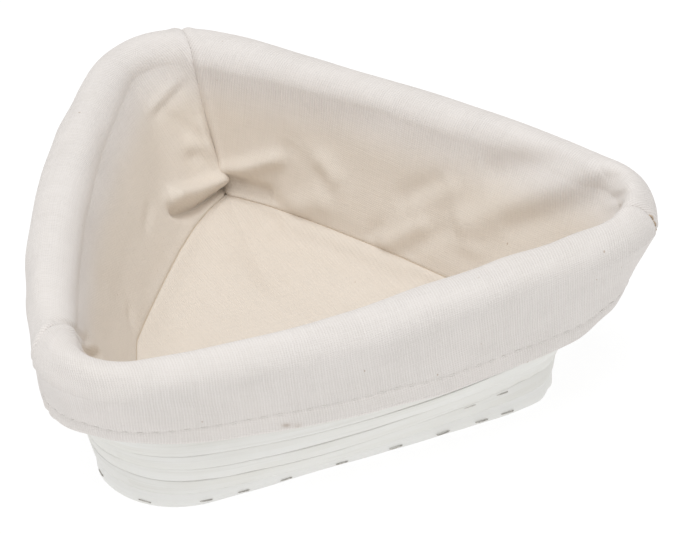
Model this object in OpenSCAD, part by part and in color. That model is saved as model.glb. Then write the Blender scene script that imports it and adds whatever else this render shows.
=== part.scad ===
// Triangular proofing basket of coiled cane with a lift-out cotton liner.
// Units are millimetres. The flat front side faces -Y, one corner points to +Y, +Z is up.
// The origin is the middle of the underside, where the basket stands on a table.
// Every level of the basket is a bowed triangle: three wide side arcs joined by three
// tight corner arcs. A level is written as [middle of a side to the axis, corner radius,
// side radius, height, turn about Z].

/* [Cane] */
// Width of the cane, measured across the wall
cane_width = 7.2; // [6.4:0.1:7.6]
// Height of one turn of cane
cane_height = 7.8; // [7.2:0.1:8]
// Radius that rounds the four edges of the cane
cane_round = 4.7; // [4.4:0.1:5.2]
// Gap left between two turns so that they stay separate pieces
cane_gap = 0.04; // [0.02:0.02:0.1]

/* [Cane wall] */
// Number of turns in the wall
wall_turns = 9; // [8:1:9]
// Middle of a side to the axis, outside the lowest turn
base_side = 68.4; // [67:0.2:70]
// Corner radius outside the lowest turn
base_corner = 31.6; // [29:0.2:34]
// Radius of the slight outward bow of the lowest sides
base_bow = 868; // [800:10:950]
// Middle of a side to the axis, outside each turn from the second one up
wall_sides = [73.2, 77.8, 82, 85.6, 88.4, 89.6, 89.8, 89.6];
// Corner tip to the axis, outside each turn from the second one up
wall_tips = [102.8, 106.4, 110, 113.6, 117.2, 121, 126.4, 131.7];
// Radius of the bow of the sides at each turn from the second one up
wall_bows = [640, 480, 380, 325, 300, 335, 425, 571];

/* [Cane floor] */
// Number of turns laid flat inside the lowest wall turn
floor_turns = 7; // [6:1:7]
// How much tighter the corners get from one floor turn to the next
corner_step = 5.6; // [5:0.1:6.4]
// Tightest corner the cane is bent to
corner_least = 9; // [8.6:0.1:10]

/* [Staples] */
// Places of the staples along the front third of the lowest turn, as shares of it
front_staples = [0.028, 0.154, 0.23, 0.319, 0.438, 0.552, 0.653, 0.736, 0.792];
// Staples along each of the other two thirds of the lowest turn
staples_per_side = 9; // [6:1:10]
// Height of the staples above the table
staple_z = 2.5; // [2:0.1:3.5]
// Length of the visible bar of a staple
staple_length = 5; // [4:0.2:6]
// Thickness of the staple wire
staple_wire = 0.8; // [0.6:0.1:1]
// Length of the two legs driven into the cane
staple_leg = 5; // [3:0.5:6]
// Places of the two staples of the second turn, as shares of the front third
second_turn_staples = [0.698, 0.771];

/* [Liner] */
// Thickness of the cotton cloth
cloth = 0.8; // [0.6:0.1:0.9]
// Height of the top of the rolled rim
rim_top = 73.8; // [73.4:0.2:75]
// Middle of a side to the axis at the middle of the rolled rim
roll_side = 82.5; // [82:0.1:83]
// Corner radius at the middle of the rolled rim
roll_corner = 27; // [26:0.2:28]
// Radius of the bow at the middle of the rolled rim
roll_bow = 564; // [550:2:580]
// Radius of the loose roll that the cloth makes over the rim
roll_radius = 9.6; // [9:0.1:10]
// Height of the seam round the cloth floor
seam_z = 18; // [16:0.5:22]
// Height of the middle of the cloth floor
floor_z = 9.4; // [9:0.1:12]
// Middle of a side to the axis at the floor seam
seam_side = 57; // [54:0.5:58]
// How far the cloth floor is turned against the cane, degrees
liner_turn = -6; // [-7:1:0]
// How far the three corner seams stray from the right, back and left corner, degrees
seam_turn = [-2, -7, -12];

/* [Hem] */
// Height of the lower edge of the hem
hem_z = 41; // [40.6:0.1:41.4]
// Middle of a side to the axis at the hem
hem_side = 94; // [93.8:0.2:95]
// Corner radius of the hem
hem_corner = 48; // [47:0.5:48.5]
// Radius of the bow of the hem
hem_bow = 280; // [275:5:290]
// Height of the cloth turned up inside the hem
hem_fold = 8; // [6:0.5:9]
// Distance between the two layers of the hem
hem_gap = 2.6; // [2.4:0.1:2.7]
// Thickness of the elastic cord inside the hem
elastic = 1; // [0.8:0.1:1.1]
// Distance of the row of stitches from the lower edge of the hem
stitch_up = 5.6; // [4.5:0.1:6.5]
// Number of stitches along one third of the hem
stitches_per_side = 42; // [30:1:48]
// Length of one stitch
stitch_length = 3; // [2:0.1:3.4]

/* [Hidden] */
roll_z = rim_top - roll_radius;
base_level = [base_side, base_corner, base_bow, 0, 0];
seam_level = [seam_side, 9, 450, seam_z, liner_turn];
hem_level = [hem_side, hem_corner, hem_bow, hem_z, 0];
side_cells = 8;
corner_cells = 6;
cells = side_cells + 2 * corner_cells;
corner_share = 0.22;
seam_gap = 0.35;
even_staples = [for (n = [0:staples_per_side - 1]) (n + 0.5) / staples_per_side];
join_lap = 0.4;
join_inset = 0.04;
cane_colour = [0.93, 0.92, 0.88];
cloth_colour = [0.9, 0.87, 0.82];
thread_colour = [0.96, 0.95, 0.93];
steel_colour = [0.45, 0.45, 0.46];
corner_names = ["right", "back", "left"];
function two_digits(n) = n < 10 ? str("0", n) : str(n);

// ---- the bowed triangle ----

// Distance from the axis to the centre of a corner arc
function reach(v) = (v[0] - v[2] + sqrt(4 * pow(v[2] - v[1], 2) - 3 * pow(v[2] - v[0], 2))) / 2;

// Half of the angle that a side arc spans
function half_span(v) = atan2(reach(v) * cos(30), reach(v) * sin(30) + v[2] - v[0]);

// Lengths along half a corner, along a side, and along a whole third
function half_corner_run(v) = v[1] * (60 - half_span(v)) * PI / 180;
function side_run(v) = v[2] * 2 * half_span(v) * PI / 180;
function third_run(v) = 2 * half_corner_run(v) + side_run(v);

// The same triangle moved outwards by d, with the height and turn kept
function wider(v, d) = [v[0] + d, v[1] + d, v[2] + d, v[3], v[4]];
function raised(v, z) = [v[0], v[1], v[2], z, v[4]];

// A level between two others; the bow is blended as a curvature
function between(v, w, q) = [
    v[0] + (w[0] - v[0]) * q,
    v[1] + (w[1] - v[1]) * q,
    1 / (1 / v[2] + (1 / w[2] - 1 / v[2]) * q),
    v[3] + (w[3] - v[3]) * q,
    v[4] + (w[4] - v[4]) * q
];

// The spot at distance u from the left corner of third k: [x, y, direction it faces]
function on_arc(cx, cy, r, g, t) = [
    (cx + r * cos(g)) * cos(t) - (cy + r * sin(g)) * sin(t),
    (cx + r * cos(g)) * sin(t) + (cy + r * sin(g)) * cos(t),
    g + t
];
function on_corner(v, k, g) = on_arc(
    reach(v) * cos(210 + 120 * k), reach(v) * sin(210 + 120 * k), v[1], g, v[4]);
function on_side(v, k, g) = on_arc(
    (v[0] - v[2]) * cos(120 * k - 90), (v[0] - v[2]) * sin(120 * k - 90), v[2], g, v[4]);
function spot(v, k, u) =
    u < half_corner_run(v)
    ? on_corner(v, k, 210 + 120 * k + u / v[1] * 180 / PI)
    : u < half_corner_run(v) + side_run(v)
    ? on_side(v, k, 120 * k - 90 - half_span(v) + (u - half_corner_run(v)) / v[2] * 180 / PI)
    : on_corner(v, k + 1, 120 * k - 90 + half_span(v)
        + (u - half_corner_run(v) - side_run(v)) / v[1] * 180 / PI);

// The same for any distance, counted on past the corners
function wrapped(v, k, u) =
    u < 0 ? spot(v, k - 1, u + third_run(v))
    : u > third_run(v) ? spot(v, k + 1, u - third_run(v))
    : spot(v, k, u);

// ---- cane ----

module cane_section() {
    translate([-cane_width / 2, cane_height / 2])
        intersection() {
            square([cane_width - 2 * $inset, cane_height - cane_gap - 2 * $inset], center = true);
            circle(r = cane_round - $inset, $fn = 72);
        }
}

// A section swept round a bowed triangle. Each corner arc is a hair thinner than the
// side arcs and reaches a little way into them, so that the six arcs join soundly.
module closed_turn(v) {
    lap = join_lap / v[1] * 180 / PI;
    translate([0, 0, v[3]])
        rotate(v[4])
            union() {
                for (k = [0:2]) {
                    rotate(120 * k)
                        translate([0, v[2] - v[0], 0])
                            rotate(-90 - half_span(v))
                                rotate_extrude(angle = 2 * half_span(v), $fn = 720)
                                    translate([v[2], 0])
                                        let ($inset = 0)
                                            children();
                    rotate(120 * k - 30)
                        translate([reach(v), 0, 0])
                            rotate(half_span(v) - 60 - lap)
                                rotate_extrude(angle = 120 - 2 * half_span(v) + 2 * lap, $fn = 90)
                                    translate([v[1], 0])
                                        let ($inset = join_inset)
                                            children();
                }
            }
}

// The corner radius that gives a bowed triangle its tip t, for side a and bow r
function corner_for(a, t, r) =
    (t * t + t * (r - a) + pow(r - a, 2) - r * r) / (2 * t - a - r);

// The wall leans out like a bowl: strongly at the foot, hardly at all under the rim
function wall_level(n) =
    n == 1 ? base_level
    : let (a = wall_sides[n - 2], r = wall_bows[n - 2])
      [a, corner_for(a, wall_tips[n - 2], r), r, (n - 1) * cane_height, 0];

module wall_coil(n) {
    color(cane_colour)
        closed_turn(wall_level(n))
            cane_section();
}

function floor_level(n) = [
    wall_level(1)[0] - cane_width * n - cane_gap * n,
    max(corner_least, base_corner - corner_step * n),
    base_bow - cane_width * n,
    0,
    0
];

module base_coil(n) {
    color(cane_colour)
        closed_turn(floor_level(n))
            cane_section();
}

// A short end of cane closes the middle of the floor
module base_centre_cane() {
    half = floor_level(floor_turns)[0] - cane_width - 0.15;
    color(cane_colour)
        translate([0, 0, cane_gap / 2])
            linear_extrude(cane_height - cane_gap)
                intersection() {
                    circle(r = 1.6 * half, $fn = 72);
                    intersection_for (k = [0:2])
                        rotate(120 * k)
                            translate([-2 * half, -half])
                                square([4 * half, 4 * half]);
                }
}

// ---- staples ----

module staple() {
    translate([-staple_wire * 0.6, -staple_length / 2, -staple_wire / 2])
        cube([staple_wire, staple_length, staple_wire]);
    for (side = [-1, 1])
        translate([-staple_leg, side * (staple_length - staple_wire) / 2, 0])
            rotate([0, 90, 0])
                cylinder(h = staple_leg, r = staple_wire * 0.45, $fn = 24);
}

module staple_at(v, share, z) {
    p = spot(v, 0, third_run(v) * share);
    translate([p[0], p[1], z])
        rotate(p[2])
            staple();
}

module base_staples() {
    color(steel_colour)
        for (k = [0:2])
            rotate(120 * k)
                for (share = k == 0 ? front_staples : even_staples)
                    staple_at(wall_level(1), share, staple_z);
}

module wall_staples() {
    color(steel_colour)
        for (share = second_turn_staples)
            staple_at(wall_level(2), share, cane_height * 1.5);
}

// ---- cloth panels ----

roll_level = [roll_side, roll_corner, roll_bow, roll_z, 0];
function on_roll(b) = raised(
    wider(roll_level, roll_radius * cos(b)), roll_z + roll_radius * sin(b));
function skirt(q) = between(on_roll(0), hem_level, q);
function fold(b) = raised(
    wider(hem_level, hem_gap / 2 * (cos(b) - 1)), hem_z + hem_gap / 2 * sin(b));

// The path of the cloth, floor seam to hem: [level, facing across, facing up]
wall_path = [for (i = [0:6]) [between(seam_level, on_roll(180), i / 7), -0.95, 0.3]];
roll_path = [for (b = [180:-22.5:0]) [on_roll(b), cos(b), sin(b)]];
skirt_path = [for (i = [1:5]) [skirt(i / 5), 1, 0]];
fold_path = [for (b = [-45:-45:-180]) [fold(b), cos(b), sin(b)]];
tuck_share = 1 - hem_fold / (roll_z - hem_z);
tuck_path = [for (q = [(1 + tuck_share) / 2, tuck_share]) [wider(skirt(q), -hem_gap), -1, 0]];
panel_path = concat(wall_path, roll_path, skirt_path, fold_path, tuck_path);

// Where a corner seam crosses a level, as a distance from the corner; none at the floor
function seam_share(v) = min(1, max(0, (v[3] - seam_z) / 30));
function stray(v, corner) =
    seam_turn[corner] * seam_share(v) * PI / 180 * (reach(v) + v[1]);

// Shares of a panel's width at its columns, closer together round the corners
function column_share(j) =
    j <= corner_cells ? corner_share * j / corner_cells
    : j <= corner_cells + side_cells
    ? corner_share + (1 - 2 * corner_share) * (j - corner_cells) / side_cells
    : 1 - corner_share * (cells - j) / corner_cells;

// A point of the cloth: step s of the path, distance u along third k, depth d
function cloth_point(s, k, u, d) =
    let (p = wrapped(s[0], k, u))
    [p[0] + d * s[1] * cos(p[2]), p[1] + d * s[1] * sin(p[2]), s[0][3] + d * s[2]];

function panel_point(s, k, j, d) =
    let (from = stray(s[0], (k + 2) % 3) + seam_gap)
    let (to = third_run(s[0]) + stray(s[0], k % 3) - seam_gap)
    cloth_point(s, k, from + (to - from) * column_share(j), d);

// Faces of a closed sheet with rows of points, front layer first, then the back layer
function sheet_faces(rows, columns) =
    let (n = rows * columns)
    concat(
        [for (i = [0:rows - 2], j = [0:columns - 2], h = [0, 1])
            h == 0
            ? [i * columns + j, i * columns + j + 1, (i + 1) * columns + j + 1]
            : [i * columns + j, (i + 1) * columns + j + 1, (i + 1) * columns + j]],
        [for (i = [0:rows - 2], j = [0:columns - 2], h = [0, 1])
            h == 0
            ? [n + i * columns + j, n + (i + 1) * columns + j + 1, n + i * columns + j + 1]
            : [n + i * columns + j, n + (i + 1) * columns + j, n + (i + 1) * columns + j + 1]],
        [for (j = [0:columns - 2], h = [0, 1])
            h == 0 ? [j, n + j, j + 1] : [j + 1, n + j, n + j + 1]],
        [for (j = [0:columns - 2], h = [0, 1])
            let (a = (rows - 1) * columns + j)
            h == 0 ? [a, a + 1, n + a] : [a + 1, n + a + 1, n + a]],
        [for (i = [0:rows - 2], h = [0, 1])
            let (a = i * columns, b = (i + 1) * columns)
            h == 0 ? [a, b, n + a] : [b, n + b, n + a]],
        [for (i = [0:rows - 2], h = [0, 1])
            let (a = (i + 1) * columns - 1, b = (i + 2) * columns - 1)
            h == 0 ? [a, n + a, b] : [b, n + a, n + b]]
    );

module liner_panel(k) {
    front = [for (s = panel_path, j = [0:cells]) panel_point(s, k, j, cloth / 2)];
    back = [for (s = panel_path, j = [0:cells]) panel_point(s, k, j, -cloth / 2)];
    color(cloth_colour)
        polyhedron(concat(front, back), sheet_faces(len(panel_path), cells + 1), convexity = 8);
}

// The thread of a corner seam fills the narrow gap between two panels
module corner_seam_thread(corner) {
    function bead(d) = [for (s = panel_path, side = [-1, 1])
        cloth_point(s, corner, third_run(s[0]) + stray(s[0], corner) + side * 0.25, d)];
    color(thread_colour)
        polyhedron(concat(bead(cloth / 2 - 0.2), bead(-cloth / 2)),
            sheet_faces(len(panel_path), 2), convexity = 8);
}

// ---- cloth floor ----

floor_edge = wider(seam_level, -0.9);
floor_rows = [0.04, 0.3, 0.55, 0.8, 1];
floor_columns = 3 * cells;

function floor_point(q, n, d) =
    let (p = spot(floor_edge, floor(n / cells), third_run(floor_edge) * column_share(n % cells)))
    [p[0] * q, p[1] * q, floor_z + (seam_z - floor_z) * pow(q, 3) + d];

function ring_faces(rows, columns) =
    let (n = rows * columns)
    concat(
        [for (i = [0:rows - 2], j = [0:columns - 1], h = [0, 1])
            let (a = i * columns + j, b = i * columns + (j + 1) % columns)
            h == 0 ? [a, b, b + columns] : [a, b + columns, a + columns]],
        [for (i = [0:rows - 2], j = [0:columns - 1], h = [0, 1])
            let (a = n + i * columns + j, b = n + i * columns + (j + 1) % columns)
            h == 0 ? [a, b + columns, b] : [a, a + columns, b + columns]],
        [for (j = [0:columns - 1], h = [0, 1])
            let (a = (rows - 1) * columns + j, b = (rows - 1) * columns + (j + 1) % columns)
            h == 0 ? [a, b, n + b] : [a, n + b, n + a]],
        [[for (j = [columns - 1:-1:0]) j]],
        [[for (j = [0:columns - 1]) n + j]]
    );

module liner_floor() {
    upper = [for (q = floor_rows, n = [0:floor_columns - 1]) floor_point(q, n, cloth / 2)];
    lower = [for (q = floor_rows, n = [0:floor_columns - 1]) floor_point(q, n, -cloth / 2)];
    color(cloth_colour)
        polyhedron(concat(upper, lower), ring_faces(len(floor_rows), floor_columns), convexity = 4);
}

// The thread of the floor seam runs under the joint of the floor and the side panels
module floor_seam_thread() {
    color(thread_colour)
        closed_turn(raised(wider(seam_level, -0.3), seam_z - cloth - 0.45))
            translate([-0.3, 0])
                circle(r = 0.3 - $inset / 2, $fn = 24);
}

// ---- hem ----

// Elastic cord held inside the hem
module hem_elastic() {
    color(thread_colour)
        closed_turn(raised(wider(hem_level, -hem_gap / 2), hem_z + elastic / 2 - 0.2))
            circle(r = elastic / 2 - $inset / 2, $fn = 24);
}

// One stitch after another, half sunk into the outside of the hem
module hem_stitching() {
    v = skirt(1 - stitch_up / (roll_z - hem_z));
    color(thread_colour)
        for (k = [0:2], n = [0:stitches_per_side - 1]) {
            p = spot(v, k, third_run(v) * (n + 0.5) / stitches_per_side);
            translate([p[0] + (cloth / 2) * cos(p[2]), p[1] + (cloth / 2) * sin(p[2]), v[3]])
                rotate(p[2])
                    cube([0.5, stitch_length, 0.5], center = true);
        }
}

// ---- what is drawn ----

wall_coil(1);  // wall_coil_01
wall_coil(2);  // wall_coil_02
wall_coil(3);  // wall_coil_03
wall_coil(4);  // wall_coil_04
wall_coil(5);  // wall_coil_05
wall_coil(6);  // wall_coil_06
wall_coil(7);  // wall_coil_07
wall_coil(8);  // wall_coil_08
wall_coil(9);  // wall_coil_09
base_coil(1);  // base_coil_01
base_coil(2);  // base_coil_02
base_coil(3);  // base_coil_03
base_coil(4);  // base_coil_04
base_coil(5);  // base_coil_05
base_coil(6);  // base_coil_06
base_coil(7);  // base_coil_07
base_centre_cane();
base_staples();
wall_staples();
liner_floor();
liner_panel(0);  // front_liner_panel
liner_panel(1);  // right_liner_panel
liner_panel(2);  // left_liner_panel
corner_seam_thread(0);  // right_corner_seam_thread
corner_seam_thread(1);  // back_corner_seam_thread
corner_seam_thread(2);  // left_corner_seam_thread
floor_seam_thread();
hem_elastic();
hem_stitching();
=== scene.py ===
"""Triangular cane proofing basket with a cotton liner: the looks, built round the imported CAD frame.

Lengths in the tables below are millimetres, as in the CAD source, and become metres at the mesh.
A level is a bowed triangle: (middle of a side to the axis, corner radius, side radius).
"""
import math

import bmesh
import bpy
import numpy as np
from mathutils import Matrix, Vector


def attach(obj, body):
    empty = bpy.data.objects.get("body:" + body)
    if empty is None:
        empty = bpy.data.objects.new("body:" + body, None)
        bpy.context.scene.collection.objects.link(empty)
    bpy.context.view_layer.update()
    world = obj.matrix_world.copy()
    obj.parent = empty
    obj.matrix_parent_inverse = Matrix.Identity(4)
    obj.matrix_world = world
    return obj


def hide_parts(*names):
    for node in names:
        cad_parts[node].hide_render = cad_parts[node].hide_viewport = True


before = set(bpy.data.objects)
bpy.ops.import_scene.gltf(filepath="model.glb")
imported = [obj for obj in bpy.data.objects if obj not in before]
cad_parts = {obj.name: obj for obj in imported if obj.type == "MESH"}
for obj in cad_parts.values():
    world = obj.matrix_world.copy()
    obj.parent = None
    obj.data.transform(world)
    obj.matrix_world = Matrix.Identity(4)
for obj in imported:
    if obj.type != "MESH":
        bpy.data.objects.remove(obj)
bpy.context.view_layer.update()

MM = 0.001

# ------------------------------------------------------------------ dimensions, as in the CAD source
CANE_W, CANE_H = 7.2, 7.8
WALL_TURNS, FLOOR_TURNS = 9, 7
BASE = (68.4, 31.6, 868.0)
# each turn of the wall from the second up: middle of a side, corner tip, side radius
WALL = ((73.2, 102.8, 640.0), (77.8, 106.4, 480.0), (82.0, 110.0, 380.0), (85.6, 113.6, 325.0),
        (88.4, 117.2, 300.0), (89.6, 121.0, 335.0), (89.8, 126.4, 425.0), (89.6, 131.7, 571.0))
ROLL = (82.5, 27.0, 564.0)
ROLL_R, ROLL_Z = 9.6, 64.2
SEAM_Z, FLOOR_Z = 18.0, 9.4
SEAM_TURN = (-2.0, -7.0, -12.0)      # right, back and left corner, degrees
HEM = (94.0, 48.0, 280.0)
HEM_Z, HEM_FOLD, HEM_GAP = 41.0, 8.0, 2.6
STITCH_UP = 5.6
CLOTH = 0.8
SHEET = 0.9 * CLOTH                  # thickness of the modelled cloth


# ------------------------------------------------------------------ the bowed triangle
def reach(a, c, r):
    return (a - r + np.sqrt(4 * (r - c) ** 2 - 3 * (r - a) ** 2)) / 2


def half_span(a, c, r):
    d = reach(a, c, r)
    return np.arctan2(d * math.cos(math.pi / 6), d * 0.5 + r - a)


def third_run(a, c, r):
    f = half_span(a, c, r)
    return 2 * c * (math.pi / 3 - f) + 2 * r * f


def loop_points(a, c, r, length):
    """Points and facing directions at distances along the loop, 0 at the left corner.
    a, c and r are numbers or arrays that match length."""
    a, c, r, length = np.broadcast_arrays(*(np.asarray(v, float) for v in (a, c, r, length)))
    d, f, run = reach(a, c, r), half_span(a, c, r), third_run(a, c, r)
    k = np.floor(length / run)
    u = length - k * run
    corner = c * (math.pi / 3 - f)
    side = 2 * r * f
    first = u < corner
    last = u > corner + side
    base = math.radians(210) + 2 * math.pi / 3 * k
    normal = 2 * math.pi / 3 * k - math.pi / 2
    g = np.where(first, base + u / c,
                 np.where(last, normal + f + (u - corner - side) / c,
                          normal - f + (u - corner) / r))
    at = np.where(first, base, base + 2 * math.pi / 3)
    x = np.where(first | last, d * np.cos(at) + c * np.cos(g),
                 (a - r) * np.cos(normal) + r * np.cos(g))
    y = np.where(first | last, d * np.sin(at) + c * np.sin(g),
                 (a - r) * np.sin(normal) + r * np.sin(g))
    return x, y, g


def at_directions(table, x, y):
    """Values given at directions in degrees, eased from one to the next round the loop."""
    at = np.degrees(np.arctan2(y, x)) % 360
    keys = sorted((d % 360, v) for d, v in table)
    d = np.array([keys[-1][0] - 360] + [k[0] for k in keys] + [keys[0][0] + 360])
    v = np.array([keys[-1][1]] + [k[1] for k in keys] + [keys[0][1]])
    i = np.clip(np.searchsorted(d, at) - 1, 0, len(d) - 2)
    t = (at - d[i]) / (d[i + 1] - d[i])
    t = t * t * (3 - 2 * t)
    return v[i] * (1 - t) + v[i + 1] * t


# ------------------------------------------------------------------ small tools
def smooth(x, lo, hi):
    t = np.clip((x - lo) / (hi - lo), 0, 1)
    return t * t * (3 - 2 * t)


def noise_field(rows, cols, size_r, size_c, seed):
    """A smooth random field, periodic both ways, with features of about size_r by size_c cells."""
    r = np.random.default_rng(seed).standard_normal((rows, cols))
    fr = np.fft.fftfreq(rows)[:, None] * size_r
    fc = np.fft.fftfreq(cols)[None, :] * size_c
    out = np.fft.ifft2(np.fft.fft2(r) * np.exp(-4 * (fr ** 2 + fc ** 2))).real
    return (out - out.mean()) / (out.std() + 1e-12)


def lengths(p):
    """Distance along a line of points, or along each column of a grid of them."""
    steps = np.linalg.norm(np.diff(p, axis=0), axis=-1)
    return np.concatenate([np.zeros((1, *steps.shape[1:])), np.cumsum(steps, 0)])


def nearest_on(line, x, y):
    """How far points are from a line, how far along it they are nearest, and its length."""
    line = np.asarray(line, float)
    seg = np.linalg.norm(np.diff(line, axis=0), axis=1)
    best = np.full(x.shape, np.inf)
    where = np.zeros(x.shape)
    start = 0.0
    for (a, b), size in zip(zip(line[:-1], line[1:]), seg):
        v = (b - a) / size
        h = np.clip((x - a[0]) * v[0] + (y - a[1]) * v[1], 0, size)
        d = np.hypot(x - a[0] - v[0] * h, y - a[1] - v[1] * h)
        near = d < best
        best = np.where(near, d, best)
        where = np.where(near, start + h, where)
        start += size
    return best, where, seg.sum()


def make_mesh(name, points, faces, uv=None, attributes=None):
    """A mesh object from arrays. points in millimetres, faces as lists, uv per point."""
    mesh = bpy.data.meshes.new(name)
    mesh.from_pydata((np.asarray(points) * MM).tolist(), [], faces)
    mesh.polygons.foreach_set("use_smooth", [True] * len(mesh.polygons))
    if uv is not None:
        layer = mesh.uv_layers.new(name="UVMap")
        index = np.zeros(len(mesh.loops), np.int32)
        mesh.loops.foreach_get("vertex_index", index)
        layer.data.foreach_set("uv", np.asarray(uv, np.float32)[index].ravel())
    for key, values in (attributes or {}).items():
        attribute = mesh.attributes.new(key, "FLOAT", "POINT")
        attribute.data.foreach_set("value", np.asarray(values, np.float32).ravel())
    mesh.update()
    obj = bpy.data.objects.new(name, mesh)
    bpy.context.scene.collection.objects.link(obj)
    return obj


def welded(obj):
    """Joins doubled points and turns every face outwards."""
    b = bmesh.new()
    b.from_mesh(obj.data)
    bmesh.ops.remove_doubles(b, verts=b.verts, dist=1e-6)
    bmesh.ops.recalc_face_normals(b, faces=b.faces)
    b.to_mesh(obj.data)
    b.free()
    return obj


def grid_faces(rows, cols, offset=0, flip=False, wrap=False):
    i = np.arange(rows - 1)[:, None]
    j = np.arange(cols if wrap else cols - 1)[None, :]
    a = i * cols + j
    b = i * cols + (j + 1) % cols
    q = np.stack([a, b, b + cols, a + cols], -1).reshape(-1, 4) + offset
    return q[:, ::-1] if flip else q


def sheet_mesh(name, mid, normal, uv, attributes):
    """A closed sheet of cloth with two layers, from a grid of middle points and normals."""
    rows, cols, _ = mid.shape
    front = (mid + normal * SHEET / 2).reshape(-1, 3)
    back = (mid - normal * SHEET / 2).reshape(-1, 3)
    n = rows * cols
    faces = [grid_faces(rows, cols), grid_faces(rows, cols, n, True)]
    edge = np.concatenate([np.arange(cols), np.arange(1, rows) * cols + cols - 1,
                           (rows - 1) * cols + np.arange(cols - 2, -1, -1),
                           np.arange(rows - 2, 0, -1) * cols])
    nxt = np.roll(edge, -1)
    faces.append(np.stack([nxt, edge, edge + n, nxt + n], -1))
    uv = uv.reshape(-1, 2)
    att = {k: np.concatenate([v.ravel(), v.ravel()]) for k, v in attributes.items()}
    return make_mesh(name, np.concatenate([front, back]), np.concatenate(faces).tolist(),
                     np.concatenate([uv, uv]), att)


def grid_normals(p):
    """Normals of a grid of points whose rows are closed loops."""
    dc = np.roll(p, -1, 1) - np.roll(p, 1, 1)
    dr = np.gradient(p, axis=0)
    n = np.cross(dc, dr)
    return n / (np.linalg.norm(n, axis=2, keepdims=True) + 1e-9)


# ------------------------------------------------------------------ materials
class Graph:
    """Shorthand for building node graphs."""

    def __init__(self, nodes, links):
        self.nodes, self.links = nodes, links

    def add(self, kind, **inputs):
        node = self.nodes.new(kind)
        for key, value in inputs.items():
            if key.startswith("set_"):
                setattr(node, key[4:], value)
            else:
                self.put(node.inputs[key.replace("_", " ")], value)
        return node

    def put(self, socket, value):
        if isinstance(value, bpy.types.NodeSocket):
            self.links.new(value, socket)
        else:
            socket.default_value = value

    def math(self, op, a, b=0.0):
        node = self.nodes.new("ShaderNodeMath")
        node.operation = op
        self.put(node.inputs[0], a)
        self.put(node.inputs[1], b)
        return node.outputs[0]

    def mix(self, fac, a, b, blend="MIX"):
        node = self.nodes.new("ShaderNodeMix")
        node.data_type, node.blend_type = "RGBA", blend
        self.put(node.inputs[0], fac)
        self.put(node.inputs[6], a)
        self.put(node.inputs[7], b)
        return node.outputs[2]

    def remap(self, value, lo, hi, out_lo=0.0, out_hi=1.0):
        node = self.nodes.new("ShaderNodeMapRange")
        node.interpolation_type = "SMOOTHSTEP"
        for i, v in enumerate((value, lo, hi, out_lo, out_hi)):
            self.put(node.inputs[i], v)
        return node.outputs[0]

    def tint(self, tone, amount, mask, colour):
        """The tone multiplied by a colour, by an amount where the mask says."""
        return self.mix(self.math("MULTIPLY", mask, amount), tone, (*colour, 1), "MULTIPLY")


def new_material(name):
    m = bpy.data.materials.new(name)
    m.use_nodes = True
    tree = m.node_tree
    return m, Graph(tree.nodes, tree.links), tree.nodes["Principled BSDF"]


WARP_PITCH, WEFT_PITCH = 0.00104, 0.00078      # metres from yarn to yarn


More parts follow.
